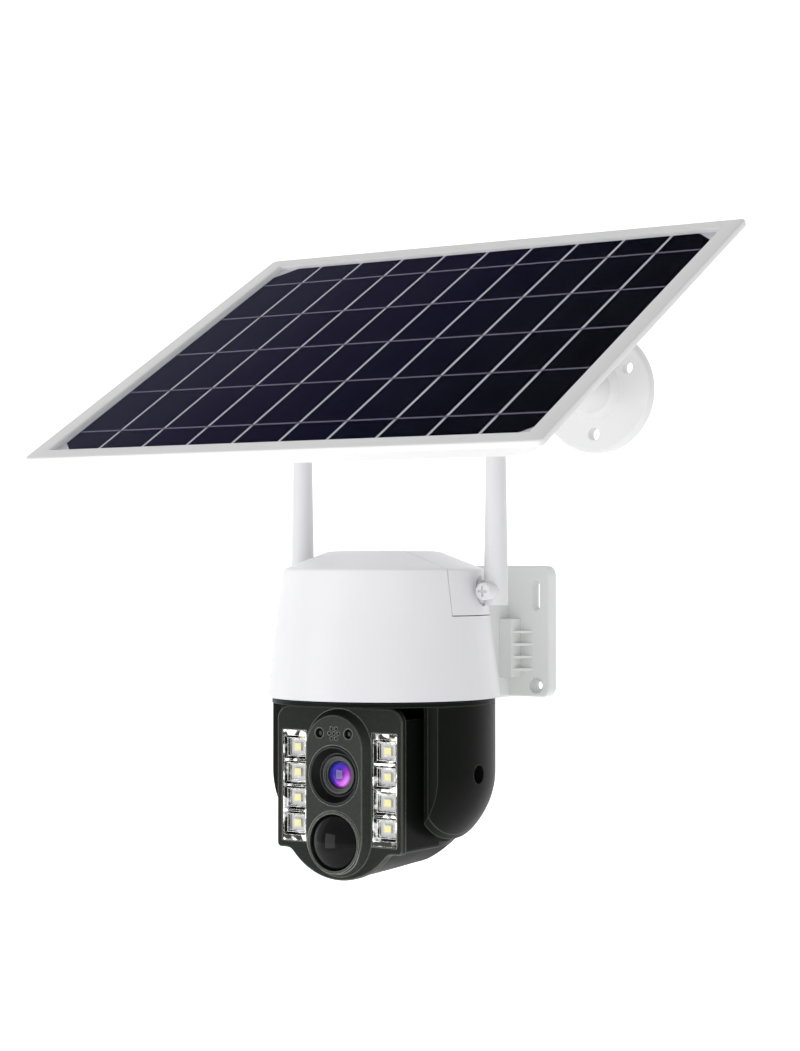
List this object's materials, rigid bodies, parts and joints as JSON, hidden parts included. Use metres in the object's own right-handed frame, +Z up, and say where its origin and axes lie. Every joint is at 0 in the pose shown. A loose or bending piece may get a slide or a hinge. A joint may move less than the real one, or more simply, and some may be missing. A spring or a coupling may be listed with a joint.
{
  "type": "solar powered security camera",
  "caption": "Wall-mounted pan and tilt security camera with folding aerials, lamps, lens and motion sensor, under a solar panel on a ball-jointed wall mount.",
  "frame": {"origin": "centre of the camera bracket's wall face", "axes": "+Y into the wall, +X to the right seen from the front, +Z up"},
  "size_m": [0.241, 0.2673, 0.2814],
  "materials": {
    "white_plastic": "satin moulded",
    "bracket_plastic": "satin moulded",
    "black_plastic": "satin moulded",
    "graphite_paint": "fine metallic speckle",
    "gloss_black": "polished",
    "lens_coat": "coated",
    "steel": "plated",
    "brass": "plain",
    "nylon": "plain",
    "rubber": "matt",
    "board": "printed board",
    "board_white": "printed board",
    "mirror_chrome": "bright",
    "led_phosphor": "phosphor",
    "cell_wrap": "shrink sleeve",
    "silicon": "dark blue",
    "tinned_copper": "flat",
    "backsheet": "film",
    "clear_cover": "clear"
  },
  "bodies": {
    "fixed_mounts": {"wall_bracket": "bracket_plastic", "arm_screws": "steel", "housing_front_shell": "white_plastic", "housing_rear_cover": "white_plastic", "housing_screws": "steel", "base_plate": "black_plastic", "rim_gasket": "rubber", "pan_bush": "nylon", "pan_motor": "steel", "board_standoffs": "brass", "main_board": "board", "battery_holder": "black_plastic", "battery_cells": "cell_wrap", "speaker": "black_plastic", "charging_socket": "black_plastic", "button_board": "board", "panel_wall_base": "white_plastic"},
    "pan_pinion": {"pan_pinion": "nylon"},
    "power_button": {"power_button": "rubber"},
    "reset_button": {"reset_button": "rubber"},
    "yoke": {"yoke_frame": "black_plastic", "yoke_cover_left": "black_plastic", "yoke_cover_right": "black_plastic", "yoke_screws": "steel", "pan_gear": "nylon", "neck_retaining_ring": "steel", "tilt_shaft": "steel"},
    "head": {"head_rear_shell": "black_plastic", "faceplate": "graphite_paint", "head_screws": "steel", "sensor_cover": "graphite_paint", "lens_bezel": "gloss_black", "lens_barrel": "gloss_black", "lens_glass": "lens_coat", "image_sensor_board": "board", "pir_bezel": "graphite_paint", "pir_lens": "gloss_black", "pir_sensor": "steel", "light_sensors": "black_plastic", "microphone": "steel", "led_reflectors": "mirror_chrome", "led_boards": "board_white", "led_chips": "led_phosphor", "tilt_motor": "steel", "tilt_pivot_pin": "steel"},
    "antenna_left_base": {"antenna_left_base": "white_plastic"},
    "antenna_left_rod": {"antenna_left_rod": "white_plastic"},
    "antenna_right_base": {"antenna_right_base": "white_plastic"},
    "antenna_right_rod": {"antenna_right_rod": "white_plastic"},
    "clamp_head": {"clamp_head": "white_plastic"},
    "clamp_knob": {"clamp_knob": "black_plastic"},
    "ball_stud": {"ball_stud": "steel"},
    "panel": {"panel_frame": "white_plastic", "panel_glass": "clear_cover", "cell_ribbons": "tinned_copper", "solar_cells": "silicon", "panel_backsheet": "backsheet", "panel_back_shell": "white_plastic", "junction_box": "black_plastic", "cable_gland": "nylon"}
  },
  "joints": [
    {"name": "pan", "type": "hinge", "parent": "fixed_mounts", "child": "yoke", "pos_m": [0, -0.092, -0.0284], "axis": [0, 0, 1], "range_deg": [-175, 175]},
    {"name": "pan_pinion_spin", "type": "hinge", "parent": "fixed_mounts", "child": "pan_pinion", "pos_m": [0, -0.124, -0.0198], "axis": [0, 0, 1], "range_deg": [-526, 526]},
    {"name": "tilt", "type": "hinge", "parent": "yoke", "child": "head", "pos_m": [0, -0.092, -0.061], "axis": [1, 0, 0], "range_deg": [0, 80]},
    {"name": "power_press", "type": "slide", "parent": "fixed_mounts", "child": "power_button", "axis": [0.5878, -0.809, 0], "range_m": [0, 0.0008], "stiffness_N_per_m": 500, "springref_m": -0.002},
    {"name": "reset_press", "type": "slide", "parent": "fixed_mounts", "child": "reset_button", "axis": [0.766, -0.6428, 0], "range_m": [0, 0.0008], "stiffness_N_per_m": 500, "springref_m": -0.002},
    {"name": "antenna_left_swivel", "type": "hinge", "parent": "fixed_mounts", "child": "antenna_left_base", "pos_m": [-0.05299, -0.0814, 0.02], "axis": [1, 0, 0], "range_deg": [-80, 80]},
    {"name": "antenna_left_fold", "type": "hinge", "parent": "antenna_left_base", "child": "antenna_left_rod", "pos_m": [-0.05299, -0.0814, 0.02], "axis": [0, -1, 0], "range_deg": [0, 90]},
    {"name": "antenna_right_swivel", "type": "hinge", "parent": "fixed_mounts", "child": "antenna_right_base", "pos_m": [0.05299, -0.0814, 0.02], "axis": [1, 0, 0], "range_deg": [-80, 80]},
    {"name": "antenna_right_fold", "type": "hinge", "parent": "antenna_right_base", "child": "antenna_right_rod", "pos_m": [0.05299, -0.0814, 0.02], "axis": [0, 1, 0], "range_deg": [0, 90]},
    {"name": "mount_swivel", "type": "hinge", "parent": "fixed_mounts", "child": "clamp_head", "pos_m": [0.0615, -0.106, 0.114], "axis": [0, 1, 0], "range_deg": [-20, 20]},
    {"name": "clamp_knob_turn", "type": "hinge", "parent": "clamp_head", "child": "clamp_knob", "pos_m": [0.0615, -0.1157, 0.114], "axis": [1, 0, 0], "continuous": true},
    {"name": "panel_tilt", "type": "hinge", "parent": "clamp_head", "child": "ball_stud", "pos_m": [0.0615, -0.1283, 0.114], "axis": [1, 0, 0], "range_deg": [-30, 15]},
    {"name": "panel_spin", "type": "hinge", "parent": "ball_stud", "child": "panel", "pos_m": [0.0615, -0.1283, 0.114], "axis": [0, -0.503, 0.8643], "range_deg": [-25, 25]}
  ],
  "couplings": [
    {"joint": "pan_pinion_spin", "follows": "pan", "ratio": -3}
  ]
}
